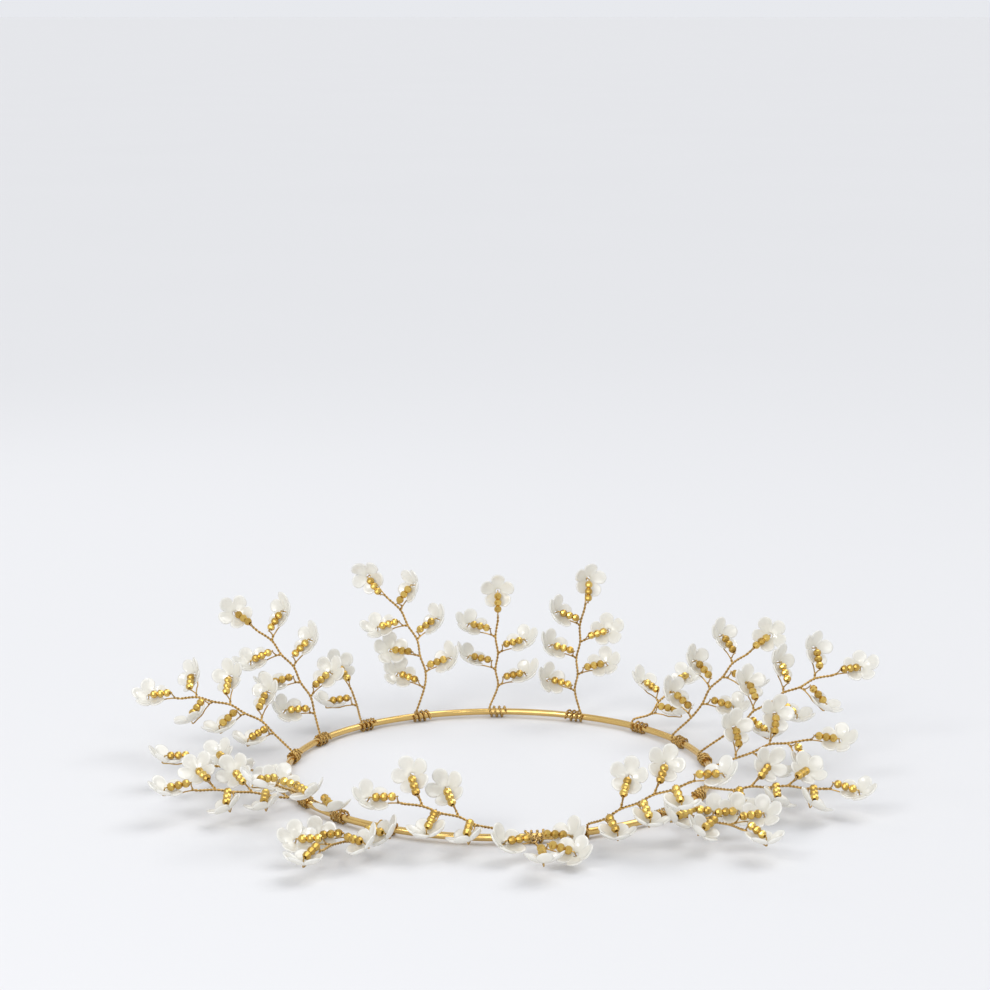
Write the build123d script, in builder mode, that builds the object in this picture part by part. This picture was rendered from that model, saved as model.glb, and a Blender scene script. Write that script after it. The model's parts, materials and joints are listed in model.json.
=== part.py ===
"""A candle ring: a wire hoop that lies on the table, with sprays of beaded blossoms wound onto it.

The origin is the centre of the hoop on the table, +Z is up, and -Y is the side that faces the viewer.
Lengths are in millimetres and angles in degrees.
"""

import os
from collections import namedtuple
from math import asin, atan2, cos, degrees, radians, sin, sqrt, tan

from build123d import *

# Hoop
HOOP_INNER_DIAMETER = 120.0
HOOP_WIRE = 2.0

# Wire: one strand, and the twisted pair that the stems and petioles are made of
STRAND = 0.4
TWISTED_PAIR = 2 * STRAND

# Winding of a stem's foot round the hoop
WINDING_TURNS = 3
WINDING_PITCH = 1.6
WINDING_CLEARANCE = 0.1
REST_FLAT = TWISTED_PAIR / 10

# Blossom: a five-petalled cup with a hole for the wire at its centre; each petal's rim is cut in flats
BLOSSOM_DIAMETER = 11.0
PETALS = 5
PETAL_WIDTH = 4.7
PETAL_THICKNESS = 0.7
CUP_RADIUS = 8.0
EYE_DIAMETER = 1.2
PETAL_FLATS = 6

# Row of seed beads on each blossom
BEADS_IN_ROW = 3
BEAD_DIAMETER = 2.4
BEAD_LENGTH = 1.7
BEAD_BORE = 0.8
BEAD_GAP = 0.38
BEAD_CLEARANCE = 0.1
ROW_INSET = 0.6

# Wire loop that ties a blossom and its beads to the stem
LOOP_BEND = 0.45
LOOP_LEAD = 0.3
LOOP_OPENING = 0.75
LOOP_UNDERSIDE_GAP = 0.3
PETIOLE_LENGTH = 1.2
PETIOLE_HEIGHT = 1.6
PETIOLE_CLEARANCE = 0.05

# How blossoms stand on a stem
NODE_TUCK = 0.3
PETIOLE_SPREAD = 60.0
PETIOLE_LIFT = 10.0
PETIOLE_LIFT_SWING = 8.0
PETIOLE_LIFT_STEP = 137.5
FACE_LEAN = 45.0
FACE_LEAN_SWING = 8.0
FACE_LEAN_STEP = 97.5
STEM_ZIGZAG = 8.0
STEM_EASE = 0.45
SPRAY_STEP = 3

# Each spray: its place round the hoop, its heading off the outward radius, its rise at the foot and
# how much that changes towards the tip, the turn of its face about the stem, the bare length of its
# foot, the number of side blossoms, and the side of the first one
Spray = namedtuple("Spray", "name azimuth yaw rise lift twist foot side_blossoms first_side")
SPRAYS = [
    Spray("left", 168, 0, 54, -60, -32, 9, 6, 1),
    Spray("left_low", 187, 0, 16, -12, 0, 10, 3, 1),
    Spray("left_high", 150, 4, 78, -46, -50, 8, 6, 1),
    Spray("back_left_low", 131, 0, 46, 0, -20, 7, 1, 1),
    Spray("back_left", 113, 50, 104, -60, -90, 9, 6, 1),
    Spray("back", 90, 0, 66, 0, 0, 8, 4, -1),
    Spray("back_right", 67, -40, 92, -12, 80, 8, 5, 1),
    Spray("back_low", 45, 0, 34, -6, 10, 6, 2, -1),
    Spray("right_high", 27, 0, 66, -36, 50, 8, 5, 1),
    Spray("right_far", 9, 6, 48, -36, 45, 15, 6, -1),
    Spray("right_mid", -7, 4, 46, -46, 40, 9, 4, 1),
    Spray("right_low", -24, 6, 18, -20, 20, 10, 5, -1),
    Spray("front_right", -43, -10, 14, -12, 0, 7, 5, 1),
    Spray("front_rim", -69, 50, 36, -14, 30, 8, 5, -1),
    Spray("front", -81, -4, 12, -12, 0, 5, 3, 1),
    Spray("front_left", -88, -80, 28, -12, -30, 9, 4, 1),
    Spray("front_low", -119, 0, 9, -6, 0, 11, 4, 1),
    Spray("left_rim", -135, 0, 40, -16, -10, 8, 3, 1),
    Spray("left_front", -151, -10, 18, -12, -10, 5, 5, -1),
]

# Sizes that follow from the ones above
hoop_radius = (HOOP_INNER_DIAMETER + HOOP_WIRE) / 2
hoop_height = HOOP_WIRE / 2 + WINDING_CLEARANCE + TWISTED_PAIR - REST_FLAT
winding_radius = HOOP_WIRE / 2 + WINDING_CLEARANCE + TWISTED_PAIR / 2
winding_length = WINDING_TURNS * WINDING_PITCH
node_gap = BLOSSOM_DIAMETER / 2 - NODE_TUCK
bead_pitch = BEAD_LENGTH + BEAD_GAP


def cup_height(radius):
    """Height of the inside of the cup at a distance from its axis."""
    return CUP_RADIUS - sqrt(CUP_RADIUS**2 - radius**2)


def cup_underside(radius):
    """Height of the outside of the cup at a distance from its axis."""
    return CUP_RADIUS - sqrt((CUP_RADIUS + PETAL_THICKNESS) ** 2 - radius**2)


# Plan of the blossom: the petals are circles, and the notch lies where two of them cross
petal_pitch = (BLOSSOM_DIAMETER - PETAL_WIDTH) / 2
half_sector = radians(180 / PETALS)
notch_mouth = petal_pitch * cos(half_sector) + PETAL_WIDTH / 2
notch_depth = petal_pitch * cos(half_sector) + sqrt(
    (PETAL_WIDTH / 2) ** 2 - (petal_pitch * sin(half_sector)) ** 2
)
petal_turn = atan2(notch_depth * sin(half_sector), notch_depth * cos(half_sector) - petal_pitch)

# The row of beads slopes up from the eye and clears the two petals beside its notch
row_height = BEAD_DIAMETER / 2 + BEAD_CLEARANCE - ROW_INSET / 2
row_slope = (cup_height(notch_mouth) + BEAD_DIAMETER / 2 + BEAD_CLEARANCE - row_height) / notch_mouth
row_direction = Vector(-1, 0, row_slope).normalized()
row_start = Vector(0, 0, row_height)
row_length = ROW_INSET + BEADS_IN_ROW * bead_pitch

# Corners of the wire loop in the blossom's own frame: x towards the tip, z out of the cup
loop_top = row_start + row_direction * (row_length + LOOP_LEAD)
loop_turn = Vector(0, 0, -PETAL_THICKNESS - LOOP_UNDERSIDE_GAP - STRAND / 2)
loop_notch = Vector(-notch_depth, 0, cup_underside(notch_depth) - LOOP_UNDERSIDE_GAP - STRAND / 2)
petiole_end = Vector(loop_top.X - LOOP_OPENING, 0, PETIOLE_HEIGHT)
petiole_foot = petiole_end - Vector(PETIOLE_LENGTH, 0, 0)
strand_side = Vector(0, 0, STRAND / 3)
spread_sin = sin(radians(PETIOLE_SPREAD))
spread_cos = cos(radians(PETIOLE_SPREAD))
petiole_start = (TWISTED_PAIR / 2 * (1 + spread_cos) + PETIOLE_CLEARANCE) / spread_sin
stem_to_eye = petiole_start - petiole_foot.X


def heading(yaw, rise):
    """Unit vector at a yaw about Z and a rise above the table."""
    return Vector(
        cos(radians(rise)) * cos(radians(yaw)),
        cos(radians(rise)) * sin(radians(yaw)),
        sin(radians(rise)),
    )


def hoop_point(spray):
    """Point on the hoop's centre line where a spray is wound on."""
    return Vector(
        hoop_radius * cos(radians(spray.azimuth)),
        hoop_radius * sin(radians(spray.azimuth)),
        hoop_height,
    )


def stem_frame(spray, along):
    """Directions of the stem, of its left side and of its face at a share of its length."""
    course = spray.azimuth + spray.yaw
    forward = heading(course, spray.rise + spray.lift * along)
    level = heading(course + 90, 0)
    upper = forward.cross(level)
    turn = radians(spray.twist)
    left = level * cos(turn) + upper * sin(turn)
    face = upper * cos(turn) - level * sin(turn)
    return forward, left, face


def lay_out(spray, number):
    """Points of a stem from the hoop to its tip, and one plane for each blossom at its eye."""
    length = spray.foot + node_gap * spray.side_blossoms
    point = hoop_point(spray)
    points = []
    planes = []
    travelled = 0.0
    side = spray.first_side
    for node in range(spray.side_blossoms + 1):
        run = node_gap if node else spray.foot
        sway = radians(STEM_ZIGZAG * side) if node else 0.0
        forward, left, face = stem_frame(spray, (travelled + run / 2) / length)
        point = point + (forward * cos(sway) + left * sin(sway)) * run
        travelled += run
        points.append(point)

        at_tip = node == spray.side_blossoms
        forward, left, face = stem_frame(spray, travelled / length)
        count = node + SPRAY_STEP * number
        lift = radians(PETIOLE_LIFT + PETIOLE_LIFT_SWING * sin(radians(PETIOLE_LIFT_STEP * count)))
        lean = radians(FACE_LEAN + FACE_LEAN_SWING * sin(radians(FACE_LEAN_STEP * count)))
        spread = 0.0 if at_tip else radians(PETIOLE_SPREAD) * side
        outward = forward * cos(spread) + left * sin(spread)
        x_dir = outward * cos(lift) + face * sin(lift)
        look = face if at_tip else face * cos(lean) + forward * sin(lean)
        z_dir = (look - x_dir * look.dot(x_dir)).normalized()
        eye = point + x_dir * stem_to_eye - z_dir * PETIOLE_HEIGHT
        planes.append(Plane(origin=eye, x_dir=x_dir, z_dir=z_dir))
        side = -side
    points.append(points[-1] + x_dir * (petiole_start - PETIOLE_CLEARANCE))
    return points, planes


def winding_stations(spray):
    """Points and headings, a quarter turn apart, of the winding that carries a stem's foot."""
    outward = heading(spray.azimuth, 0)
    up = Vector(0, 0, 1)
    along = heading(spray.azimuth + 90, 0) * (1 if spray.yaw >= 0 else -1)
    centre = hoop_point(spray)
    first = stem_frame(spray, 0)[0]
    leaving = degrees(atan2(first.dot(up), first.dot(outward)))
    quarters = 4 * WINDING_TURNS
    stations = []
    for quarter in range(quarters + 1):
        angle = radians(leaving + 90 + 90 * (quarters - quarter))
        shift = winding_length * (quarter / quarters - 0.5)
        spoke = outward * cos(angle) + up * sin(angle)
        around = outward * sin(angle) - up * cos(angle)
        inner = 0 < quarter < quarters
        advance = along * (WINDING_PITCH / (2 * radians(180) * winding_radius)) if inner else Vector()
        stations.append((centre + spoke * winding_radius + along * shift, (around + advance).normalized()))
    return stations


def biarc(start, start_heading, end, end_heading):
    """Two arcs that leave one point along its heading and reach the next along its own."""
    chord = end - start
    both = start_heading + end_heading
    bend = 2 * (1 - start_heading.dot(end_heading))
    reach = (sqrt(chord.dot(both) ** 2 + bend * chord.dot(chord)) - chord.dot(both)) / bend
    near = start + start_heading * reach
    far = end - end_heading * reach
    middle = (near + far) / 2
    TangentArc(start, middle, tangent=start_heading)
    TangentArc(middle, end, tangent=far - near)


def eased_radii(points):
    """Largest bends that the runs beside each corner leave room for."""
    radii = []
    for before, corner, after in zip(points, points[1:], points[2:]):
        half_turn = radians((corner - before).get_angle(after - corner)) / 2
        radii.append(STEM_EASE * min((corner - before).length, (after - corner).length) / tan(half_turn))
    return radii


def self_gap(stations):
    """Least gap between one turn of a winding and the next, measured on points."""
    points = [station[0] for station in stations]
    turn = 4
    spans = [(b - a).length for i, a in enumerate(points) for b in points[i + turn:]]
    return min(spans) - TWISTED_PAIR


def write(piece, name):
    """Label a finished piece and write it as a STEP file."""
    piece.part.label = name
    export_step(piece.part, f"parts/{name}.step")


os.makedirs("parts", exist_ok=True)

# Hoop: one ring of round wire
with BuildPart() as hoop:
    with BuildSketch(Plane.XZ) as hoop_section:
        with Locations((hoop_radius, hoop_height)):
            Circle(HOOP_WIRE / 2)
    revolve(axis=Axis.Z)
write(hoop, "hoop")

# Blossom: a spherical cup turned about its axis, with its rim cut to five petals
cup_outside = CUP_RADIUS + PETAL_THICKNESS
eye_angle = asin(EYE_DIAMETER / 2 / CUP_RADIUS)
rim_angle = asin(BLOSSOM_DIAMETER / 2 / CUP_RADIUS)
rim_points = []
for petal_number in range(PETALS):
    petal_angle = 2 * half_sector * petal_number
    for flat in range(PETAL_FLATS):
        turn = petal_angle + petal_turn * (2 * flat / PETAL_FLATS - 1)
        rim_points.append(
            (
                petal_pitch * cos(petal_angle) + PETAL_WIDTH / 2 * cos(turn),
                petal_pitch * sin(petal_angle) + PETAL_WIDTH / 2 * sin(turn),
            )
        )
with BuildPart() as blossom:
    with BuildSketch(Plane((0, 0, CUP_RADIUS), x_dir=(0, 0, -1), z_dir=(0, 1, 0))) as cup_section:
        with BuildLine():
            Line(
                (CUP_RADIUS * cos(eye_angle), CUP_RADIUS * sin(eye_angle)),
                (cup_outside * cos(eye_angle), cup_outside * sin(eye_angle)),
            )
            CenterArc((0, 0), cup_outside, degrees(eye_angle), degrees(rim_angle - eye_angle))
            CenterArc((0, 0), CUP_RADIUS, degrees(eye_angle), degrees(rim_angle - eye_angle))
            Line(
                (CUP_RADIUS * cos(rim_angle), CUP_RADIUS * sin(rim_angle)),
                (cup_outside * cos(rim_angle), cup_outside * sin(rim_angle)),
            )
        make_face()
    revolve(axis=Axis((0, 0, 0), (0, 0, 1)))
    with BuildSketch(Plane.XY.offset(-2 * PETAL_THICKNESS)) as petal_outline:
        Polygon(*rim_points, align=None)
    extrude(amount=CUP_RADIUS, mode=Mode.INTERSECT)

# Bead: a bored ball on the Z axis, cut square at both ends
bead_end_angle = asin(BEAD_LENGTH / BEAD_DIAMETER)
bead_end_radius = BEAD_DIAMETER / 2 * cos(bead_end_angle)
with BuildPart() as bead:
    with BuildSketch(Plane.XZ) as bead_section:
        with BuildLine():
            Line((BEAD_BORE / 2, -BEAD_LENGTH / 2), (bead_end_radius, -BEAD_LENGTH / 2))
            CenterArc((0, 0), BEAD_DIAMETER / 2, -degrees(bead_end_angle), 2 * degrees(bead_end_angle))
            Line((bead_end_radius, BEAD_LENGTH / 2), (BEAD_BORE / 2, BEAD_LENGTH / 2))
            Line((BEAD_BORE / 2, BEAD_LENGTH / 2), (BEAD_BORE / 2, -BEAD_LENGTH / 2))
        make_face()
    revolve(axis=Axis.Z)

# Petiole: a short twisted pair that opens into the loop through the beads and the eye
with BuildPart() as petiole:
    with BuildLine() as loop_path:
        FilletPolyline(
            petiole_end + strand_side - Vector(TWISTED_PAIR / 2, 0, 0),
            loop_top,
            row_start,
            loop_turn,
            loop_notch,
            petiole_end - strand_side - Vector(TWISTED_PAIR / 2, 0, 0),
            radius=LOOP_BEND,
        )
    with BuildSketch(Plane(loop_path.line @ 0, z_dir=loop_path.line % 0)):
        Circle(STRAND / 2)
    sweep()
    with BuildSketch(Plane(petiole_foot, z_dir=(1, 0, 0))):
        Circle(TWISTED_PAIR / 2)
    extrude(amount=PETIOLE_LENGTH)

row_places = []
for bead_number in range(BEADS_IN_ROW):
    bead_centre = row_start + row_direction * (ROW_INSET + (bead_number + 0.5) * bead_pitch)
    row_places.append(Location(Plane(bead_centre, z_dir=row_direction)))

# Sprays: a stem with its petioles, its blossoms and its beads
least_gap = None
for number, spray in enumerate(SPRAYS):
    stem_points, blossom_planes = lay_out(spray, number)
    stations = winding_stations(spray)
    least_gap = min(self_gap(stations), least_gap or self_gap(stations))
    blossom_places = [Location(plane) for plane in blossom_planes]
    bead_places = [place * row_place for place in blossom_places for row_place in row_places]

    with BuildPart() as stem:
        with BuildLine() as stem_path:
            tail_end, tail_heading = stations[0]
            Line(tail_end - tail_heading * TWISTED_PAIR, tail_end)
            for (near_point, near_heading), (far_point, far_heading) in zip(stations, stations[1:]):
                biarc(near_point, near_heading, far_point, far_heading)
            foot, leaving = stations[-1]
            run = [foot, foot + leaving * 2 * TWISTED_PAIR] + stem_points
            FilletPolyline(*run, radius=eased_radii(run))
        with BuildSketch(Plane(stem_path.line @ 0, z_dir=stem_path.line % 0)):
            Circle(TWISTED_PAIR / 2)
        sweep()
        split(bisect_by=Plane.XY, keep=Keep.TOP)
        with Locations(*blossom_places):
            add(petiole.part)
    write(stem, f"stem_{spray.name}")

    with BuildPart() as blossoms:
        with Locations(*blossom_places):
            add(blossom.part)
    write(blossoms, f"blossoms_{spray.name}")

    with BuildPart() as beads:
        with Locations(*bead_places):
            add(bead.part)
    write(beads, f"beads_{spray.name}")

print(f"least gap of a winding to itself: {least_gap:.2f} mm")
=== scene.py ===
"""Looks of a candle ring: a gold hoop with sprays of twisted wire, pearl blossoms and gold seed beads.

Every length is in metres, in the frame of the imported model: +Z up, with the origin at the hoop's
centre on the table.
"""

import json
from collections import namedtuple
from math import atan2, copysign, cos, pi, radians, sin, sqrt
from random import Random

import bmesh
import bpy
from mathutils import Matrix, Vector

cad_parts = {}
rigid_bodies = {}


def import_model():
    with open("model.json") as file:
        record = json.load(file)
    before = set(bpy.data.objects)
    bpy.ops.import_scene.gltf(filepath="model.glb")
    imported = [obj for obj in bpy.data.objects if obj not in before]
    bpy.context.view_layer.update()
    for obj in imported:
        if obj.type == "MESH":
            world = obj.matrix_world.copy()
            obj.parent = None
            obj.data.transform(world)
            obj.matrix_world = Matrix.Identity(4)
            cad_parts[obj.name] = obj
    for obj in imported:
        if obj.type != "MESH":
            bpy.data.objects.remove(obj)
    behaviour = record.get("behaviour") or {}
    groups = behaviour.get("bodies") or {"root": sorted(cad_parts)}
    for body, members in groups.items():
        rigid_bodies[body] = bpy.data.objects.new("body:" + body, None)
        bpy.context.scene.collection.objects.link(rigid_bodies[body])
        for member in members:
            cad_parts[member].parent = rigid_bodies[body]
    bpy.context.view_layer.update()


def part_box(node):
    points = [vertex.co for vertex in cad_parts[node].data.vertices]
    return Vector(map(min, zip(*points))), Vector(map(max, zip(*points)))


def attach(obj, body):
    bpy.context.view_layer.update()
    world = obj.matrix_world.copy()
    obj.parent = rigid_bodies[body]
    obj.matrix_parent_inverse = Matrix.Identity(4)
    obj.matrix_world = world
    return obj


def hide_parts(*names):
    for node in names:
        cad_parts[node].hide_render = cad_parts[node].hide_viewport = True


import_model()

bl_info = {
    "name": "Beaded candle ring",
    "version": (1, 0, 0),
    "blender": (4, 5, 0),
    "location": "View3D > Sidebar > Candle Ring",
    "description": "Dresses a packed candle ring with twisted wire, pearl blossoms and seed beads",
    "category": "Object",
}

MM = 0.001

# The hoop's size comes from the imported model
hoop_low, hoop_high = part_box("hoop")
HOOP_WIRE = hoop_high[2] - hoop_low[2]
HOOP_RADIUS = hoop_high[0] - HOOP_WIRE / 2
HOOP_HEIGHT = (hoop_low[2] + hoop_high[2]) / 2

# Wire and winding
STRAND = 0.4 * MM
TWISTED_PAIR = 2 * STRAND
WINDING_TURNS = 3
WINDING_PITCH = 1.6 * MM
WINDING_CLEARANCE = 0.1 * MM
WINDING_RADIUS = HOOP_WIRE / 2 + WINDING_CLEARANCE + TWISTED_PAIR / 2
WINDING_TAIL = TWISTED_PAIR
STEM_LEAD = 2 * TWISTED_PAIR
POINTS_PER_TURN = 12
POINTS_PER_SPAN = 16

# Blossom
BLOSSOM_DIAMETER = 11 * MM
PETALS = 5
PETAL_WIDTH = 4.7 * MM
PETAL_THICKNESS = 0.7 * MM
CUP_RADIUS = 8 * MM
EYE_DIAMETER = 1.2 * MM

# Grid of one petal, the powers that shape it, and how it may stray
PETAL_COLUMNS = 10
PETAL_RINGS = 5
COLUMN_CROWDING = 1.5
SLIT_SHARPNESS = 14
LIP_SHARPNESS = 5
SIDE_HOLD = 6
DROOP_SHARE = 0.6
PETALS_BESIDE_ROW = (PETALS // 2, PETALS // 2 + 1)

# Row of beads
BEADS_IN_ROW = 3
BEAD_DIAMETER = 2.4 * MM
BEAD_LENGTH = 2.0 * MM
BEAD_BORE = 0.8 * MM
BEAD_GAP = 0.08 * MM
BEAD_CLEARANCE = 0.1 * MM
ROW_INSET = 0.6 * MM

# Loop that ties a blossom to its stem
LOOP_LEAD = 0.3 * MM
LOOP_OPENING = 0.75 * MM
LOOP_UNDERSIDE_GAP = 0.3 * MM
LOOP_SPLIT = STRAND / 3
PETIOLE_LENGTH = 1.2 * MM
PETIOLE_HEIGHT = 1.6 * MM
PETIOLE_CLEARANCE = 0.05 * MM

# How blossoms stand on a stem, with every angle in degrees
NODE_TUCK = 0.3 * MM
PETIOLE_SPREAD = 60
PETIOLE_LIFT = 10
PETIOLE_LIFT_SWING = 8
PETIOLE_LIFT_STEP = 137.5
FACE_LEAN = 45
FACE_LEAN_SWING = 8
FACE_LEAN_STEP = 97.5
STEM_ZIGZAG = 8
SPRAY_STEP = 3

# Sprays, with their angles in degrees and the length of the foot in millimetres
Spray = namedtuple("Spray", "name azimuth yaw rise lift twist foot side_blossoms first_side")
SPRAYS = [
    Spray("left", 168, 0, 54, -60, -32, 9, 6, 1),
    Spray("left_low", 187, 0, 16, -12, 0, 10, 3, 1),
    Spray("left_high", 150, 4, 78, -46, -50, 8, 6, 1),
    Spray("back_left_low", 131, 0, 46, 0, -20, 7, 1, 1),
    Spray("back_left", 113, 50, 104, -60, -90, 9, 6, 1),
    Spray("back", 90, 0, 66, 0, 0, 8, 4, -1),
    Spray("back_right", 67, -40, 92, -12, 80, 8, 5, 1),
    Spray("back_low", 45, 0, 34, -6, 10, 6, 2, -1),
    Spray("right_high", 27, 0, 66, -36, 50, 8, 5, 1),
    Spray("right_far", 9, 6, 48, -36, 45, 15, 6, -1),
    Spray("right_mid", -7, 4, 46, -46, 40, 9, 4, 1),
    Spray("right_low", -24, 6, 18, -20, 20, 10, 5, -1),
    Spray("front_right", -43, -10, 14, -12, 0, 7, 5, 1),
    Spray("front_rim", -69, 50, 36, -14, 30, 8, 5, -1),
    Spray("front", -81, -4, 12, -12, 0, 5, 3, 1),
    Spray("front_left", -88, -80, 28, -12, -30, 9, 4, 1),
    Spray("front_low", -119, 0, 9, -6, 0, 11, 4, 1),
    Spray("left_rim", -135, 0, 40, -16, -10, 8, 3, 1),
    Spray("left_front", -151, -10, 18, -12, -10, 5, 5, -1),
]

# Mottling of the finishes: patches to a metre, and how fine the patches break up
HOOP_CLOUDS = 220.0
HOOP_GRAIN = 2600.0
WIRE_PATCHES = 420.0
WIRE_GRAIN = 5200.0
BEAD_GRAIN = 1500.0
PEARL_CLOUDS = 380.0
FLOOR_CLOUDS = 3.0
SOFT_DETAIL = 2.0
FINE_DETAIL = 3.0

# Fine relief of the finishes
Relief = namedtuple("Relief", "depth strength")
HOOP_RELIEF = Relief(0.02 * MM, 0.25)
WIRE_RELIEF = Relief(0.01 * MM, 0.3)
BEAD_RELIEF = Relief(0.03 * MM, 0.2)
RIB_RELIEF = Relief(0.06 * MM, 0.35)

# Pearl: its ribs, how it pales away from the eye, and its gloss
RIBS_ON_PETAL = 7
PALE_POWER = 0.6
PALE_OUTWARD = 0.85
PALE_CLOUD = 0.25
PALE_TONE = 0.15
PEARL_IOR = 1.6
NACRE_WEIGHT = 0.8
NACRE_IOR = 1.65

# Floor, lamps and where they stand, and the camera
FLOOR_HALF = 60.0
FLOOR_ROUGHNESS = 0.9
SUN_ANGLE = radians(50)
MAIN_SUN_PLACE = (0.5, 0.3, 1.0)
FRONT_FILL_PLACE = (-0.4, -1.0, 0.55)
SUN_TARGET = (0, 0, 0)
WINDOW_PLACE = (-0.45, -0.45, 0.5)
WINDOW_SIZE = 0.18
SPARKLE_PLACES = {
    "right_panel": (0.45, 0.25, 0.55),
    "front_panel": (0.25, -0.6, 0.45),
    "back_panel": (-0.3, 0.5, 0.4),
}
SPARKLE_SIZE = 0.09
PANEL_TARGET = (0, 0, 20 * MM)
CAMERA_PLACE = (-0.9 * MM, -700 * MM, 217 * MM)
CAMERA_DOWN = radians(10.9)
CAMERA_LENS = 92.0
CAMERA_SENSOR = 36.0
CAMERA_CLIP = 10 * MM

# Sockets that share their name with another of their node, by number
MIX_FIRST_COLOUR = 6
MIX_SECOND_COLOUR = 7
MIX_COLOUR = 2
RANDOM_FIRST_COUNT = 4
RANDOM_LAST_COUNT = 5
RANDOM_SHARE = 1
RANDOM_COUNT = 2

# Sizes that follow
half_sector = pi / PETALS
petal_pitch = (BLOSSOM_DIAMETER - PETAL_WIDTH) / 2
node_gap = BLOSSOM_DIAMETER / 2 - NODE_TUCK
bead_pitch = BEAD_LENGTH + BEAD_GAP


def cup_height(radius):
    """Height of the inside of the cup at a distance from its axis."""
    return CUP_RADIUS - sqrt(CUP_RADIUS**2 - radius**2)


def cup_underside(radius):
    """Height of the outside of the cup at a distance from its axis."""
    return CUP_RADIUS - sqrt((CUP_RADIUS + PETAL_THICKNESS) ** 2 - radius**2)


def petal_circle(angle):
    """Distance from the axis to a petal's round rim, at an angle off the petal's middle."""
    return petal_pitch * cos(angle) + sqrt((PETAL_WIDTH / 2) ** 2 - (petal_pitch * sin(angle)) ** 2)


notch_mouth = petal_pitch * cos(half_sector) + PETAL_WIDTH / 2
notch_depth = petal_circle(half_sector)
row_height = BEAD_DIAMETER / 2 + BEAD_CLEARANCE - ROW_INSET / 2
row_slope = (cup_height(notch_mouth) + BEAD_DIAMETER / 2 + BEAD_CLEARANCE - row_height) / notch_mouth
row_direction = Vector((-1, 0, row_slope)).normalized()
row_start = Vector((0, 0, row_height))
row_length = ROW_INSET + BEADS_IN_ROW * bead_pitch
loop_top = row_start + row_direction * (row_length + LOOP_LEAD)
loop_turn = Vector((0, 0, -PETAL_THICKNESS - LOOP_UNDERSIDE_GAP - STRAND / 2))
loop_notch = Vector((-notch_depth, 0, cup_underside(notch_depth) - LOOP_UNDERSIDE_GAP - STRAND / 2))
petiole_end = Vector((loop_top.x - LOOP_OPENING, 0, PETIOLE_HEIGHT))
spread_sin = sin(radians(PETIOLE_SPREAD))
spread_cos = cos(radians(PETIOLE_SPREAD))
petiole_start = (TWISTED_PAIR / 2 * (1 + spread_cos) + PETIOLE_CLEARANCE) / spread_sin
stem_to_eye = petiole_start - petiole_end.x + PETIOLE_LENGTH

Seat = namedtuple("Seat", "eye across side face")


def heading(yaw, rise):
    """Unit vector at a yaw about Z and a rise above the table, in degrees."""
    level = cos(radians(rise))
    return Vector((level * cos(radians(yaw)), level * sin(radians(yaw)), sin(radians(rise))))


def hoop_point(spray):
    """Point on the hoop's centre line where a spray is wound on."""
    return heading(spray.azimuth, 0) * HOOP_RADIUS + Vector((0, 0, HOOP_HEIGHT))


def stem_frame(spray, along):
    """Directions of the stem, of its left side and of its face at a share of its length."""
    course = spray.azimuth + spray.yaw
    forward = heading(course, spray.rise + spray.lift * along)
    level = heading(course + 90, 0)
    upper = forward.cross(level)
    turn = radians(spray.twist)
    left = level * cos(turn) + upper * sin(turn)
    face = upper * cos(turn) - level * sin(turn)
    return forward, left, face


def swing(middle, reach, step, count):
    """An angle that swings about its middle from blossom to blossom: degrees in, radians out."""
    return radians(middle + reach * sin(radians(step * count)))


def lay_out(spray, number):
    """Points of a stem from its foot to its tip, and the seat of each blossom."""
    foot = spray.foot * MM
    length = foot + node_gap * spray.side_blossoms
    point = hoop_point(spray)
    points = []
    seats = []
    travelled = 0.0
    side = spray.first_side
    for node in range(spray.side_blossoms + 1):
        run = node_gap if node else foot
        sway = radians(STEM_ZIGZAG * side) if node else 0.0
        forward, left, face = stem_frame(spray, (travelled + run / 2) / length)
        point = point + (forward * cos(sway) + left * sin(sway)) * run
        travelled += run
        points.append(point)

        at_tip = node == spray.side_blossoms
        forward, left, face = stem_frame(spray, travelled / length)
        count = node + SPRAY_STEP * number
        lift = swing(PETIOLE_LIFT, PETIOLE_LIFT_SWING, PETIOLE_LIFT_STEP, count)
        lean = swing(FACE_LEAN, FACE_LEAN_SWING, FACE_LEAN_STEP, count)
        spread = 0.0 if at_tip else radians(PETIOLE_SPREAD) * side
        outward = forward * cos(spread) + left * sin(spread)
        across = outward * cos(lift) + face * sin(lift)
        look = face if at_tip else face * cos(lean) + forward * sin(lean)
        up = (look - across * look.dot(across)).normalized()
        eye = point + across * stem_to_eye - up * PETIOLE_HEIGHT
        seats.append(Seat(eye, across, up.cross(across), up))
        side = -side
    return points, seats


def winding_points(spray):
    """Points of the turns that carry a stem's foot, from the wire's end to where the stem leaves."""
    outward = heading(spray.azimuth, 0)
    up = Vector((0, 0, 1))
    along = heading(spray.azimuth + 90, 0) * (1 if spray.yaw >= 0 else -1)
    first = stem_frame(spray, 0)[0]
    leaving = atan2(first.dot(up), first.dot(outward))
    steps = WINDING_TURNS * POINTS_PER_TURN
    points = []
    for step in range(steps + 1):
        angle = leaving + pi / 2 + 2 * pi * WINDING_TURNS * (1 - step / steps)
        shift = WINDING_PITCH * WINDING_TURNS * (step / steps - 0.5)
        spoke = outward * cos(angle) + up * sin(angle)
        points.append(hoop_point(spray) + spoke * WINDING_RADIUS + along * shift)
    tail_heading = (points[1] - points[0]).normalized()
    stem_heading = outward * cos(leaving) + up * sin(leaving)
    tail = points[0] - tail_heading * WINDING_TAIL
    lead = points[-1] + stem_heading * STEM_LEAD
    return [tail] + points + [lead]


def in_seat(seat, point):
    """A point of the blossom's own frame, in the ring's frame."""
    return seat.eye + seat.across * point.x + seat.side * point.y + seat.face * point.z


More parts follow.
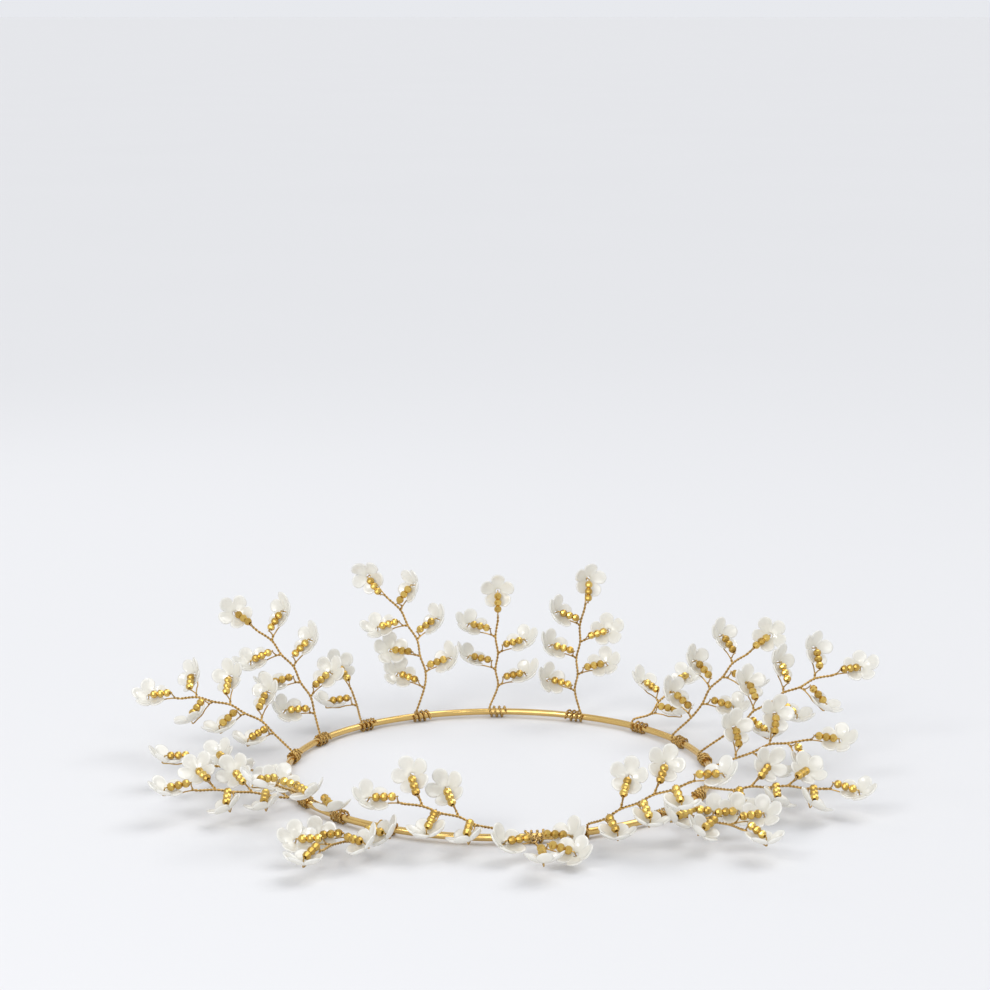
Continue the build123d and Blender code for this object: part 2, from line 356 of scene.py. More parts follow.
def petiole_points():
    """The twisted pair from the stem to the loop, in the blossom's own frame."""
    start = Vector((-stem_to_eye, 0, PETIOLE_HEIGHT))
    return [start, (start + petiole_end) / 2, petiole_end]


def loop_points():
    """The single strand through the beads, down the eye and back under the petals, in the same frame."""
    first_bead = row_start + row_direction * ROW_INSET
    last_bead = row_start + row_direction * row_length
    split = Vector((0, 0, LOOP_SPLIT))
    inside_pair = petiole_end - Vector((STRAND, 0, 0))
    return [
        inside_pair + split,
        (petiole_end + loop_top) / 2 + split,
        loop_top,
        last_bead,
        first_bead,
        row_start,
        (row_start + loop_turn) / 2,
        loop_turn,
        (loop_turn + loop_notch) / 2,
        loop_notch,
        (petiole_end + loop_notch) / 2,
        inside_pair - split,
    ]


class Field:
    """One output socket of a node tree. Arithmetic on it adds Math nodes."""

    def __init__(self, tree, socket):
        self.tree = tree
        self.socket = socket

    def _math(self, operation, *values):
        return self.tree.node("ShaderNodeMath", {"operation": operation}, dict(enumerate(values)))

    def __add__(self, other):
        return self._math("ADD", self, other)

    __radd__ = __add__

    def __sub__(self, other):
        return self._math("SUBTRACT", self, other)

    def __rsub__(self, other):
        return self._math("SUBTRACT", other, self)

    def __mul__(self, other):
        return self._math("MULTIPLY", self, other)

    __rmul__ = __mul__

    def __truediv__(self, other):
        return self._math("DIVIDE", self, other)

    def __rtruediv__(self, other):
        return self._math("DIVIDE", other, self)

    def __pow__(self, other):
        return self._math("POWER", self, other)

    def __rpow__(self, other):
        return self._math("POWER", other, self)

    def sine(self):
        return self._math("SINE", self)

    def cosine(self):
        return self._math("COSINE", self)


class Tree:
    """A node tree that is filled one node at a time."""

    def __init__(self, tree):
        self.tree = tree

    def node(self, kind, settings=None, values=None, output=0):
        """A new node with its settings, then its sockets' values or links. Returns one of its outputs."""
        node = self.tree.nodes.new(kind)
        for name, value in (settings or {}).items():
            setattr(node, name, value)
        for key, value in (values or {}).items():
            socket = node.inputs[key]
            for single in value if isinstance(value, list) else [value]:
                if isinstance(single, Field):
                    self.tree.links.new(single.socket, socket)
                else:
                    socket.default_value = single
        return Field(self, node.outputs[output]) if node.outputs else None

    def mixed_shader(self, share, first, second):
        """Two shaders mixed by a share."""
        return self.node("ShaderNodeMixShader", None, {0: share, 1: first, 2: second})


class Finish(Tree):
    """A material with one Principled shader."""

    def __init__(self, name):
        self.material = bpy.data.materials.new(name)
        self.material.use_nodes = True
        super().__init__(self.material.node_tree)
        self.tree.nodes.clear()

    def place(self):
        """Position on the piece."""
        return self.node("ShaderNodeTexCoord", output="Object")

    def noise(self, place, scale, detail=SOFT_DETAIL):
        """Soft mottling from 0 to 1."""
        sockets = {"Vector": place, "Scale": scale, "Detail": detail}
        return self.node("ShaderNodeTexNoise", None, sockets)

    def attribute(self, name):
        """A number kept on the mesh, from 0 to 1."""
        return self.node("ShaderNodeAttribute", {"attribute_name": name}, output="Fac")

    def blend(self, share, first, second):
        """A mix of two colours by a share."""
        return self.node(
            "ShaderNodeMix",
            {"data_type": "RGBA", "clamp_factor": True},
            {"Factor": share, MIX_FIRST_COLOUR: tuple(first), MIX_SECOND_COLOUR: tuple(second)},
            output=MIX_COLOUR,
        )

    def between(self, share, span):
        """A number that goes from the first value of a span to its second by a share."""
        low, high = span
        return share * (high - low) + low

    def bump(self, height, relief):
        """Fine relief."""
        sockets = {"Height": height, "Distance": relief.depth, "Strength": relief.strength}
        return self.node("ShaderNodeBump", None, sockets)

    def principled(self, **values):
        """The surface shader, with its sockets named in words joined by an underscore."""
        sockets = {name.replace("_", " "): value for name, value in values.items()}
        return self.node("ShaderNodeBsdfPrincipled", None, sockets)

    def surface(self, shader):
        """Finishes the material."""
        self.node("ShaderNodeOutputMaterial", None, {"Surface": shader})
        return self.material


class Recipe(Tree):
    """A Geometry Nodes tree with named inputs, which ends in Realize Instances and Set Material."""

    KINDS = {
        "length": "NodeSocketFloat",
        "count": "NodeSocketInt",
        "shapes": "NodeSocketCollection",
        "finish": "NodeSocketMaterial",
    }

    def __init__(self, name, inputs):
        super().__init__(bpy.data.node_groups.new(name, "GeometryNodeTree"))
        face = self.tree.interface
        face.new_socket("Geometry", in_out="INPUT", socket_type="NodeSocketGeometry")
        for title, kind in inputs.items():
            face.new_socket(title, in_out="INPUT", socket_type=self.KINDS[kind])
        face.new_socket("Geometry", in_out="OUTPUT", socket_type="NodeSocketGeometry")
        self.entry = self.tree.nodes.new("NodeGroupInput")

    def given(self, title):
        """One of the tree's inputs."""
        return Field(self, self.entry.outputs[title])

    def scaled(self, vector, factor):
        """A vector times a number."""
        return self.node("ShaderNodeVectorMath", {"operation": "SCALE"}, {0: vector, "Scale": factor})

    def named(self, attribute, kind):
        """A value kept on the carrier mesh."""
        return self.node("GeometryNodeInputNamedAttribute", {"data_type": kind}, {"Name": attribute})

    def circle(self, radius, points):
        """A closed round curve."""
        sockets = {"Resolution": points, "Radius": radius}
        return self.node("GeometryNodeCurvePrimitiveCircle", {"mode": "RADIUS"}, sockets)

    def tube(self, path, width, sides):
        """A round tube along curves."""
        path = self.node("GeometryNodeSetCurveRadius", None, {"Curve": path, "Radius": 1.0})
        sockets = {"Curve": path, "Profile Curve": self.circle(width / 2, sides), "Fill Caps": True}
        return self.node("GeometryNodeCurveToMesh", None, sockets)

    def smooth_path(self, edges, step):
        """Smooth curves through chains of edges, with points a step apart."""
        path = self.node("GeometryNodeMeshToCurve", None, {"Mesh": edges})
        path = self.node("GeometryNodeCurveSplineType", {"spline_type": "CATMULL_ROM"}, {"Curve": path})
        sockets = {"Geometry": path, "Resolution": POINTS_PER_SPAN}
        path = self.node("GeometryNodeSetSplineResolution", None, sockets)
        return self.node("GeometryNodeResampleCurve", {"mode": "LENGTH"}, {"Curve": path, "Length": step})

    def done(self, geometry, finish, smooth=True):
        """Closes the tree."""
        geometry = self.node("GeometryNodeRealizeInstances", None, {"Geometry": geometry})
        sockets = {"Geometry": geometry, "Shade Smooth": smooth}
        geometry = self.node("GeometryNodeSetShadeSmooth", None, sockets)
        geometry = self.node("GeometryNodeSetMaterial", None, {"Geometry": geometry, "Material": finish})
        self.node("NodeGroupOutput", None, {"Geometry": geometry})
        return self.tree


def make_piece(name, mesh, recipe, **values):
    """A plain mesh object that a Geometry Nodes tree made from a carrier mesh."""
    piece = bpy.data.objects.new(name, mesh)
    bpy.context.scene.collection.objects.link(piece)
    modifier = piece.modifiers.new("recipe", "NODES")
    modifier.node_group = recipe
    for item in recipe.interface.items_tree:
        if item.in_out == "INPUT" and item.name in values:
            modifier[item.identifier] = values[item.name]
    graph = bpy.context.evaluated_depsgraph_get()
    result = bpy.data.meshes.new_from_object(
        piece.evaluated_get(graph), preserve_all_data_layers=True, depsgraph=graph
    )
    if not result.polygons:
        raise RuntimeError(f"{name} came out empty")
    piece.modifiers.clear()
    piece.data = result
    result.name = name
    bpy.data.meshes.remove(mesh)
    return piece


def settle(piece, body, node):
    """Ties a finished piece to its body and hides the node it stands for."""
    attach(piece, body)
    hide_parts(node)


def chain_mesh(name, chains):
    """A carrier mesh of separate chains of edges; each chain says whether it is a twisted pair."""
    mesh = bpy.data.meshes.new(name)
    points = []
    edges = []
    pairs = []
    for chain, is_pair in chains:
        first = len(points)
        points.extend(chain)
        pairs.extend([is_pair] * len(chain))
        edges.extend((i, i + 1) for i in range(first, len(points) - 1))
    mesh.from_pydata(points, edges, [])
    mesh.attributes.new("pair", "BOOLEAN", "POINT").data.foreach_set("value", pairs)
    return mesh


def seat_mesh(name, places):
    """A carrier mesh of points, each with the turn of what stands there."""
    mesh = bpy.data.meshes.new(name)
    mesh.from_pydata([place for place, turn in places], [], [])
    turns = [angle for place, turn in places for angle in turn]
    mesh.attributes.new("turn", "FLOAT_VECTOR", "POINT").data.foreach_set("vector", turns)
    return mesh


def turn_of(across, side, face):
    """Euler angles of a frame given by its three directions."""
    return Matrix((across, side, face)).transposed().to_euler()


def length_setting(name, description, default):
    """A length that a user can change."""
    return bpy.props.FloatProperty(
        name=name, description=description, unit="LENGTH", precision=5, default=default)


def count_setting(name, description, default, least):
    """A whole number that a user can change."""
    return bpy.props.IntProperty(name=name, description=description, default=default, min=least)


def share_setting(name, description, default, most):
    """A share from 0 to the most it may be, which a user can change."""
    return bpy.props.FloatProperty(
        name=name, description=description, subtype="FACTOR", default=default, min=0, max=most)


def light_setting(name, description, default, unit="NONE"):
    """The strength of a light that a user can change."""
    return bpy.props.FloatProperty(name=name, description=description, unit=unit, default=default, min=0)


def colour_setting(name, description, *default):
    """A colour that a user can change, from its red, green and blue."""
    return bpy.props.FloatVectorProperty(
        name=name, description=description, subtype="COLOR", size=4, default=default + (1.0,))


def roughness_setting(least, greatest):
    """The span of a finish's roughness, which a user can change."""
    return bpy.props.FloatVectorProperty(
        name="Roughness", description="How matt the finish is, at its smoothest and at its dullest",
        size=2, default=(least, greatest), min=0, max=1)


class HoopSettings(bpy.types.PropertyGroup):
    """What a user would change on the hoop."""

    segments: count_setting("Segments", "Faces round the hoop", 240, 24)
    sides: count_setting("Sides", "Faces round the wire", 20, 6)
    gold: colour_setting("Gold", "Colour of the polished hoop", 0.80, 0.55, 0.20)
    shade: colour_setting("Shade", "Colour of its darker clouds", 0.688, 0.473, 0.172)
    roughness: roughness_setting(0.10, 0.22)


class WireSettings(bpy.types.PropertyGroup):
    """What a user would change on the twisted wire."""

    strand: length_setting("Strand", "Thickness of one strand", STRAND)
    lay: length_setting("Lay", "Length of one full twist", 2.1 * MM)
    step: length_setting("Step", "Distance between rings of the tube", 0.21 * MM)
    sides: count_setting("Sides", "Faces round a strand", 6, 3)
    gold: colour_setting("Gold", "Colour of the wire", 0.66, 0.45, 0.16)
    shade: colour_setting("Shade", "Colour of its dull places", 0.36, 0.22, 0.07)
    roughness: roughness_setting(0.14, 0.34)


class BlossomSettings(bpy.types.PropertyGroup):
    """What a user would change on the blossoms."""

    slit_depth: length_setting(
        "Slit depth", "Distance from the eye to the end of the slit between two petals", 2.7 * MM)
    lip: length_setting("Lip", "How far a petal's end curls up", 0.75 * MM)
    spoon: length_setting("Spoon", "How far a petal's sides curl up", 0.3 * MM)
    thickness: length_setting("Thickness", "Thickness of a petal", 0.55 * MM)
    stray: length_setting("Stray", "How far a petal's end may bend out of the cup", 0.35 * MM)
    shortfall: share_setting("Shortfall", "Share of its length by which a petal may be short", 0.1, 0.3)
    kinds: count_setting("Kinds", "How many differently bent blossoms there are", 6, 1)
    pearl: colour_setting("Pearl", "Colour of the petals", 0.945, 0.935, 0.895)
    heart: colour_setting("Heart", "Colour near the eye", 0.82, 0.79, 0.67)
    roughness: roughness_setting(0.08, 0.22)
    glow: share_setting("Glow", "Share of the petals' shading that lets light through", 0.3, 1)


class BeadSettings(bpy.types.PropertyGroup):
    """What a user would change on the seed beads."""

    segments: count_setting("Segments", "Facets round a bead", 9, 6)
    rows: count_setting("Rows", "Facets along a bead", 4, 2)
    gold: colour_setting("Gold", "Colour of the beads", 0.78, 0.54, 0.15)
    amber: colour_setting("Amber", "Colour of the darker beads", 0.50, 0.31, 0.07)
    roughness: roughness_setting(0.06, 0.26)


class StageSettings(bpy.types.PropertyGroup):
    """What a user would change on the floor and the light."""

    floor: colour_setting("Floor", "Colour of the floor", 0.80, 0.80, 0.815)
    floor_shade: colour_setting("Floor shade", "Colour of its darker clouds", 0.788, 0.788, 0.802775)
    backdrop: colour_setting("Backdrop", "Colour behind the floor", 0.805, 0.82, 0.855)
    sky_tint: colour_setting("Sky tint", "Colour of the soft light all round", 0.95, 0.97, 1.0)
    sky: light_setting("Sky", "Strength of the soft light all round", 0.6)
    sun: light_setting("Sun", "Strength of the broad main light", 1.0)
    fill: light_setting("Fill", "Strength of the broad light from the front", 1.0)
    window: light_setting(
        "Window", "Power of the square lamp that gives the petals their sheen", 0.8, "POWER")
    sparkle: light_setting("Sparkle", "Power of each small lamp that gives highlights", 0.14, "POWER")


def polished_gold(settings):
    """Bright drawn gold wire with faint clouds."""
    finish = Finish("polished_gold_hoop")
    place = finish.place()
    cloud = finish.noise(place, HOOP_CLOUDS)
    grain = finish.noise(place, HOOP_GRAIN)
    shader = finish.principled(
        Base_Color=finish.blend(cloud, settings.gold, settings.shade),
        Metallic=1.0,
        Roughness=finish.between(grain, settings.roughness),
        Normal=finish.bump(grain, HOOP_RELIEF),
    )
    return finish.surface(shader)


def antique_gold(settings):
    """Soft gold of the craft wire, duller in patches."""
    finish = Finish("gold_twisted_wire")
    place = finish.place()
    patches = finish.noise(place, WIRE_PATCHES, FINE_DETAIL)
    grain = finish.noise(place, WIRE_GRAIN)
    shader = finish.principled(
        Base_Color=finish.blend(patches, settings.gold, settings.shade),
        Metallic=1.0,
        Roughness=finish.between(patches, settings.roughness),
        Normal=finish.bump(grain, WIRE_RELIEF),
    )
    return finish.surface(shader)


def gold_bead(settings):
    """Polished gold beads, each a little lighter or darker than the next."""
    finish = Finish("gold_seed_beads")
    tone = finish.attribute("tone")
    grain = finish.noise(finish.place(), BEAD_GRAIN)
    shader = finish.principled(
        Base_Color=finish.blend(tone, settings.gold, settings.amber),
        Metallic=1.0,
        Roughness=finish.between((tone + grain) / 2, settings.roughness),
        Normal=finish.bump(grain, BEAD_RELIEF),
    )
    return finish.surface(shader)


def pearl_petal(settings):
    """Thin pearl white, ribbed along the petals, that lets some light through."""
    finish = Finish("pearl_petals")
    petal = finish.node("ShaderNodeUVMap", {"uv_map": "petal"})
    across = finish.node("ShaderNodeSeparateXYZ", None, {"Vector": petal}, output="X")
    outward = finish.node("ShaderNodeSeparateXYZ", None, {"Vector": petal}, output="Y")
    ribs = ((across * (2 * pi * RIBS_ON_PETAL)).sine() + 1) / 2
    cloud = finish.noise(finish.place(), PEARL_CLOUDS, FINE_DETAIL)
    tone = finish.attribute("tone")
    paleness = outward**PALE_POWER * PALE_OUTWARD + cloud * PALE_CLOUD - tone * PALE_TONE
    shader = finish.principled(
        Base_Color=finish.blend(paleness, settings.heart, settings.pearl),
        Roughness=finish.between(cloud, settings.roughness),
        IOR=PEARL_IOR,
        Coat_Weight=NACRE_WEIGHT,
        Coat_IOR=NACRE_IOR,
        Normal=finish.bump(ribs * outward, RIB_RELIEF),
    )
    through = finish.node("ShaderNodeBsdfTranslucent", None, {"Color": tuple(settings.pearl)})
    return finish.surface(finish.mixed_shader(settings.glow, shader, through))


def pale_floor(settings):
    """Matt floor with hardly any clouds."""
    finish = Finish("pale_floor")
    cloud = finish.noise(finish.place(), FLOOR_CLOUDS)
    shader = finish.principled(
        Base_Color=finish.blend(cloud, settings.floor, settings.floor_shade),
        Roughness=FLOOR_ROUGHNESS,
        Specular_IOR_Level=0.0,
    )
    return finish.surface(shader)


def hoop_recipe():
    """One ring of round wire."""
    recipe = Recipe("Hoop wire", {
        "Radius": "length", "Wire": "length", "Height": "length", "Segments": "count", "Sides": "count",
        "Finish": "finish"})
    ring = recipe.circle(recipe.given("Radius"), recipe.given("Segments"))
    tube = recipe.tube(ring, recipe.given("Wire"), recipe.given("Sides"))
    lift = recipe.node("ShaderNodeCombineXYZ", None, {"Z": recipe.given("Height")})
    tube = recipe.node("GeometryNodeTransform", None, {"Geometry": tube, "Translation": lift})
    return recipe.done(tube, recipe.given("Finish"))


def wire_recipe():
    """Chains of edges become twisted pairs, or single strands where they aren't pairs."""
    recipe = Recipe("Twisted wire", {
        "Strand": "length", "Lay": "length", "Step": "length", "Sides": "count", "Finish": "finish"})
    strand = recipe.given("Strand")
    sides = recipe.given("Sides")
    parts = {"Geometry": recipe.given("Geometry"), "Selection": recipe.named("pair", "BOOLEAN")}
    split = {"domain": "POINT"}
    pairs = recipe.node("GeometryNodeSeparateGeometry", split, parts, output="Selection")
    singles = recipe.node("GeometryNodeSeparateGeometry", split, parts, output="Inverted")

    core = recipe.smooth_path(pairs, recipe.given("Step"))
    phase = recipe.node("GeometryNodeSplineParameter", output="Length") / recipe.given("Lay") * (2 * pi)
    normal = recipe.node("GeometryNodeInputNormal")
    tangent = recipe.node("GeometryNodeInputTangent")
    binormal = recipe.node("ShaderNodeVectorMath", {"operation": "CROSS_PRODUCT"}, {0: tangent, 1: normal})
    spoke = recipe.node(
        "ShaderNodeVectorMath", {"operation": "ADD"},
        {0: recipe.scaled(normal, phase.cosine()), 1: recipe.scaled(binormal, phase.sine())})
    tubes = []
    for way in (0.5, -0.5):
        offset = recipe.scaled(spoke, strand * way)
        moved = recipe.node("GeometryNodeSetPosition", None, {"Geometry": core, "Offset": offset})
        tubes.append(recipe.tube(moved, strand, sides))
    tubes.append(recipe.tube(recipe.smooth_path(singles, recipe.given("Step")), strand, sides))
    wires = recipe.node("GeometryNodeJoinGeometry", None, {"Geometry": tubes})
    return recipe.done(wires, recipe.given("Finish"))


def seat_recipe(name, smooth):
    """One of the shapes stands on every point, turned as the point says, each with a tone of its own."""
    recipe = Recipe(name, {"Shapes": "shapes", "Last": "count", "Seed": "count", "Finish": "finish"})
    seed = recipe.given("Seed")
    shapes = recipe.node(
        "GeometryNodeCollectionInfo", None,
        {"Collection": recipe.given("Shapes"), "Separate Children": True, "Reset Children": True})
    pick = recipe.node(
        "FunctionNodeRandomValue", {"data_type": "INT"},
        {RANDOM_FIRST_COUNT: 0, RANDOM_LAST_COUNT: recipe.given("Last"), "Seed": seed + len(SPRAYS)},
        output=RANDOM_COUNT)
    turn = recipe.node(
        "FunctionNodeEulerToRotation", None, {"Euler": recipe.named("turn", "FLOAT_VECTOR")})
    seated = recipe.node(
        "GeometryNodeInstanceOnPoints", None,
        {"Points": recipe.given("Geometry"), "Instance": shapes, "Pick Instance": True,
         "Instance Index": pick, "Rotation": turn})
    tone = recipe.node(
        "FunctionNodeRandomValue", {"data_type": "FLOAT"}, {"Seed": seed}, output=RANDOM_SHARE)
    seated = recipe.node(
        "GeometryNodeStoreNamedAttribute", {"data_type": "FLOAT", "domain": "INSTANCE"},
        {"Geometry": seated, "Name": "tone", "Value": tone})
    return recipe.done(seated, recipe.given("Finish"), smooth)


def gather(name, shapes):
    """A collection of the shapes that a seat can carry."""
    collection = bpy.data.collections.new(name)
    bpy.context.scene.collection.children.link(collection)
    for shape in shapes:
        collection.objects.link(shape)
    return collection


def discard(collection):
    """Takes the shapes away once they are seated."""
    for shape in list(collection.objects):
        bpy.data.objects.remove(shape)
    bpy.data.collections.remove(collection)


def petal_columns():
    """Places across a petal, from -1 at one side to just short of 1 at the other, closer at the sides."""
    places = []
    for step in range(PETAL_COLUMNS):
        even = 2 * step / PETAL_COLUMNS - 1
        places.append(copysign(1 - (1 - abs(even)) ** COLUMN_CROWDING, even))
    return places


def petal_reach(settings, across):
    """Distance from the axis to a petal's rim, which draws in to the slit at the petal's sides."""
    circle = petal_circle(across * half_sector)
    return circle + (settings.slit_depth - circle) * abs(across) ** SLIT_SHARPNESS


def blossom_shape(settings, kind):
    """One blossom on the origin: a polar grid that is cupped, slit, spooned, thickened and rounded.

    Each petal is bent, rolled and cut in its own way, but the two beside the row of beads stay low.
    """
    chance = Random(kind)
    eye = EYE_DIAMETER / 2
    mesh = bpy.data.meshes.new("blossom_shape")
    build = bmesh.new()
    uv = build.loops.layers.uv.new("petal")
    columns = []
    places = {}
    for petal in range(PETALS):
        beside_row = petal in PETALS_BESIDE_ROW
        bend = chance.uniform(-DROOP_SHARE, 0.0 if beside_row else 1.0) * settings.stray
        roll = chance.uniform(-1.0, 1.0) * (0.0 if beside_row else settings.stray)
        short = chance.uniform(0.0, settings.shortfall)
        for across in petal_columns():
            free = 1 - across**SIDE_HOLD
            reach = petal_reach(settings, across) * (1 - short * free)
            angle = (2 * petal + across) * half_sector
            curl = settings.spoon * across**2 + (bend + roll * across) * free
            column = []
            for ring in range(PETAL_RINGS + 1):
                out = ring / PETAL_RINGS
                radius = eye + (reach - eye) * out
                lip = settings.lip * (radius / (BLOSSOM_DIAMETER / 2)) ** LIP_SHARPNESS
                height = cup_height(radius) + lip + curl * out**2
                vertex = build.verts.new((radius * cos(angle), radius * sin(angle), height))
                places[vertex] = ((across + 1) / 2, out)
                column.append(vertex)
            columns.append(column)
    for near, far in zip(columns, columns[1:] + columns[:1]):
        for ring in range(PETAL_RINGS):
            face = build.faces.new((near[ring], near[ring + 1], far[ring + 1], far[ring]))
            for loop in face.loops:
                loop[uv].uv = places[loop.vert]
    build.normal_update()
    build.to_mesh(mesh)
    build.free()
    shape = bpy.data.objects.new("blossom_shape", mesh)
    wall = shape.modifiers.new("wall", "SOLIDIFY")
    wall.thickness = settings.thickness
    wall.offset = -1.0
    rounding = shape.modifiers.new("rounding", "SUBSURF")
    rounding.levels = 1
    rounding.render_levels = 1
    return shape


def bead_shape(settings):
    """One bored ball on the Z axis, cut square at both ends."""
    half = BEAD_LENGTH / 2
    heights = [half * (2 * row / settings.rows - 1) for row in range(settings.rows + 1)]
    bulge = [(sqrt((BEAD_DIAMETER / 2) ** 2 - height**2), height) for height in heights]
    outline = [(BEAD_BORE / 2, -half)] + bulge + [(BEAD_BORE / 2, half)]
    count = len(outline)
    points = []
    faces = []
    for segment in range(settings.segments):
        angle = 2 * pi * segment / settings.segments
        points.extend((radius * cos(angle), radius * sin(angle), height) for radius, height in outline)
        here = segment * count
        there = (segment + 1) % settings.segments * count
        for row in range(count):
            upper = (row + 1) % count
            faces.append((here + row, there + row, there + upper, here + upper))
    mesh = bpy.data.meshes.new("bead_shape")
    mesh.from_pydata(points, [], faces)
    return bpy.data.objects.new("bead_shape", mesh)


class CANDLERING_OT_hoop(bpy.types.Operator):
    """Makes the polished hoop"""

    bl_idname = "candle_ring.make_hoop"
    bl_label = "Make the hoop"

    def execute(self, context):
        settings = context.scene.ring_hoop
        piece = make_piece(
            "hoop_wire", bpy.data.meshes.new("hoop_carrier"), hoop_recipe(), Radius=HOOP_RADIUS,
            Wire=HOOP_WIRE, Height=HOOP_HEIGHT, Segments=settings.segments, Sides=settings.sides,
            Finish=polished_gold(settings))
        settle(piece, "hoop", "hoop")
        return {"FINISHED"}


class CANDLERING_OT_wire(bpy.types.Operator):
    """Twists every stem, winds its foot on the hoop and ties its loops"""

    bl_idname = "candle_ring.twist_wire"
    bl_label = "Twist the wire"

    def execute(self, context):
        settings = context.scene.ring_wire
        recipe = wire_recipe()
        finish = antique_gold(settings)
        for number, spray in enumerate(SPRAYS):
            stem, seats = lay_out(spray, number)
            chains = [(winding_points(spray) + stem, True)]
            for seat in seats:
                chains.append(([in_seat(seat, point) for point in petiole_points()], True))
                chains.append(([in_seat(seat, point) for point in loop_points()], False))
            piece = make_piece(
                f"wire_{spray.name}", chain_mesh("wire_carrier", chains), recipe, Strand=settings.strand,
                Lay=settings.lay, Step=settings.step, Sides=settings.sides, Finish=finish)
            settle(piece, f"spray_{spray.name}", f"stem_{spray.name}")
        return {"FINISHED"}


class CANDLERING_OT_blossoms(bpy.types.Operator):
    """Seats a pearl blossom on every petiole"""

    bl_idname = "candle_ring.seat_blossoms"
    bl_label = "Seat the blossoms"

    def execute(self, context):
        settings = context.scene.ring_blossom
        recipe = seat_recipe("Seated blossoms", smooth=True)
        finish = pearl_petal(settings)
        shapes = gather("blossom_shapes", [blossom_shape(settings, kind) for kind in range(settings.kinds)])
        for number, spray in enumerate(SPRAYS):
            seats = lay_out(spray, number)[1]
            places = [(seat.eye, turn_of(seat.across, seat.side, seat.face)) for seat in seats]
            piece = make_piece(
                f"petals_{spray.name}", seat_mesh("petal_carrier", places), recipe, Shapes=shapes,
                Last=settings.kinds - 1, Seed=number, Finish=finish)
            settle(piece, f"spray_{spray.name}", f"blossoms_{spray.name}")
        discard(shapes)
        return {"FINISHED"}


class CANDLERING_OT_beads(bpy.types.Operator):
    """Threads a row of seed beads on every loop"""

    bl_idname = "candle_ring.thread_beads"
    bl_label = "Thread the beads"

    def execute(self, context):
        settings = context.scene.ring_bead
        recipe = seat_recipe("Seated faceted beads", smooth=False)
        finish = gold_bead(settings)
        shapes = gather("bead_shapes", [bead_shape(settings)])
        for number, spray in enumerate(SPRAYS):
            places = []
            for seat in lay_out(spray, number)[1]:
                bore = seat.across * row_direction.x + seat.face * row_direction.z
                turn = turn_of(seat.side, bore.cross(seat.side), bore)
                for bead in range(BEADS_IN_ROW):
                    along = ROW_INSET + (bead + 0.5) * bead_pitch
                    places.append((in_seat(seat, row_start + row_direction * along), turn))
            piece = make_piece(
                f"bead_rows_{spray.name}", seat_mesh("bead_carrier", places), recipe, Shapes=shapes,
                Last=0, Seed=number, Finish=finish)
            settle(piece, f"spray_{spray.name}", f"beads_{spray.name}")
        discard(shapes)
        return {"FINISHED"}


def add_floor(settings):
    """A wide pale floor, which isn't part of the ring."""
    mesh = bpy.data.meshes.new("floor")
    corners = [(x * FLOOR_HALF, y * FLOOR_HALF, 0) for x, y in ((-1, -1), (1, -1), (1, 1), (-1, 1))]
    mesh.from_pydata(corners, [], [(0, 1, 2, 3)])
    mesh.materials.append(pale_floor(settings))
    floor = bpy.data.objects.new("floor", mesh)
    bpy.context.scene.collection.objects.link(floor)


def add_sky(settings):
    """Soft light all round, with a pale backdrop where the camera, gloss or glass looks past the floor."""
    world = bpy.data.worlds.new("soft_sky")
    bpy.context.scene.world = world
    world.use_nodes = True
    world.node_tree.nodes.clear()
    sky = Tree(world.node_tree)
    kinds = ("Camera", "Glossy", "Transmission")
    camera, gloss, glass = (sky.node("ShaderNodeLightPath", output=f"Is {kind} Ray") for kind in kinds)
    light = sky.node(
        "ShaderNodeBackground", None, {"Color": tuple(settings.sky_tint), "Strength": settings.sky})
    backdrop = sky.node(
        "ShaderNodeBackground", None, {"Color": tuple(settings.backdrop), "Strength": 1.0})
    mixed = sky.mixed_shader(camera + gloss + glass, light, backdrop)
    sky.node("ShaderNodeOutputWorld", None, {"Surface": mixed})


def add_lamp(lamp, place, target):
    """Stands a lamp at a place so that it looks at a point."""
    stand = bpy.data.objects.new(lamp.name, lamp)
    stand.location = place
    stand.rotation_euler = (Vector(target) - Vector(place)).to_track_quat("-Z", "Y").to_euler()
    bpy.context.scene.collection.objects.link(stand)


def add_sun(name, place, strength):
    """A broad far light, which lights the floor evenly."""
    sun = bpy.data.lights.new(name, "SUN")
    sun.energy = strength
    sun.angle = SUN_ANGLE
    add_lamp(sun, place, SUN_TARGET)


def add_panel(name, place, size, power):
    """A square lamp that gives the gold and the petals their highlights."""
    panel = bpy.data.lights.new(name, "AREA")
    panel.size = size
    panel.energy = power
    add_lamp(panel, place, PANEL_TARGET)


def add_camera():
    """The camera, in front of the ring and a little above it."""
    camera = bpy.data.cameras.new("photo_camera")
    camera.lens = CAMERA_LENS
    camera.sensor_width = CAMERA_SENSOR
    camera.clip_start = CAMERA_CLIP
    eye = bpy.data.objects.new("photo_camera", camera)
    eye.location = CAMERA_PLACE
    eye.rotation_euler = (pi / 2 - CAMERA_DOWN, 0, 0)
    bpy.context.scene.collection.objects.link(eye)
    bpy.context.scene.camera = eye


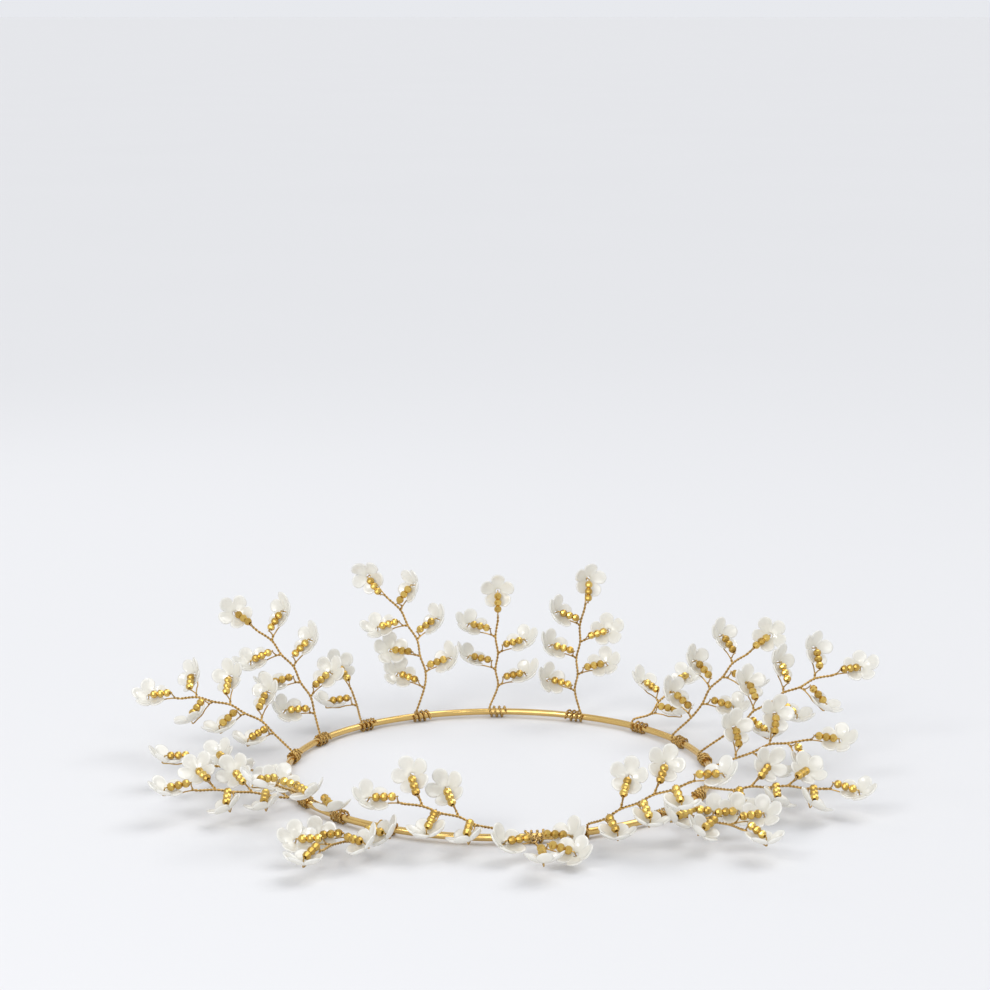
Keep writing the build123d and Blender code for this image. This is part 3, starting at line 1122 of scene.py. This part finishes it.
class CANDLERING_OT_stage(bpy.types.Operator):
    """Lays the pale floor and sets the light and the camera"""

    bl_idname = "candle_ring.set_stage"
    bl_label = "Set the stage"

    def execute(self, context):
        settings = context.scene.ring_stage
        add_floor(settings)
        add_sky(settings)
        add_sun("main_sun", MAIN_SUN_PLACE, settings.sun)
        add_sun("front_fill", FRONT_FILL_PLACE, settings.fill)
        add_panel("window", WINDOW_PLACE, WINDOW_SIZE, settings.window)
        for name, place in SPARKLE_PLACES.items():
            add_panel(name, place, SPARKLE_SIZE, settings.sparkle)
        add_camera()
        context.scene.view_settings.view_transform = "Standard"
        return {"FINISHED"}


# Each operator with the name and the class of its settings
PIECES = [
    (CANDLERING_OT_hoop, "ring_hoop", HoopSettings),
    (CANDLERING_OT_wire, "ring_wire", WireSettings),
    (CANDLERING_OT_blossoms, "ring_blossom", BlossomSettings),
    (CANDLERING_OT_beads, "ring_bead", BeadSettings),
    (CANDLERING_OT_stage, "ring_stage", StageSettings),
]


class CANDLERING_PT_panel(bpy.types.Panel):
    """The ring's pieces and their settings"""

    bl_idname = "CANDLERING_PT_panel"
    bl_label = "Candle Ring"
    bl_space_type = "VIEW_3D"
    bl_region_type = "UI"
    bl_category = "Candle Ring"

    def draw(self, context):
        for operator, name, group in PIECES:
            self.layout.operator(operator.bl_idname)
            for setting in group.__annotations__:
                self.layout.prop(getattr(context.scene, name), setting)


def register():
    for operator, name, group in PIECES:
        bpy.utils.register_class(group)
        setattr(bpy.types.Scene, name, bpy.props.PointerProperty(type=group))
        bpy.utils.register_class(operator)
    bpy.utils.register_class(CANDLERING_PT_panel)


def unregister():
    bpy.utils.unregister_class(CANDLERING_PT_panel)
    for operator, name, group in reversed(PIECES):
        bpy.utils.unregister_class(operator)
        delattr(bpy.types.Scene, name)
        bpy.utils.unregister_class(group)


def main():
    register()
    bpy.ops.candle_ring.make_hoop()
    bpy.ops.candle_ring.twist_wire()
    bpy.ops.candle_ring.seat_blossoms()
    bpy.ops.candle_ring.thread_beads()
    bpy.ops.candle_ring.set_stage()


if __name__ == "__main__":
    main()
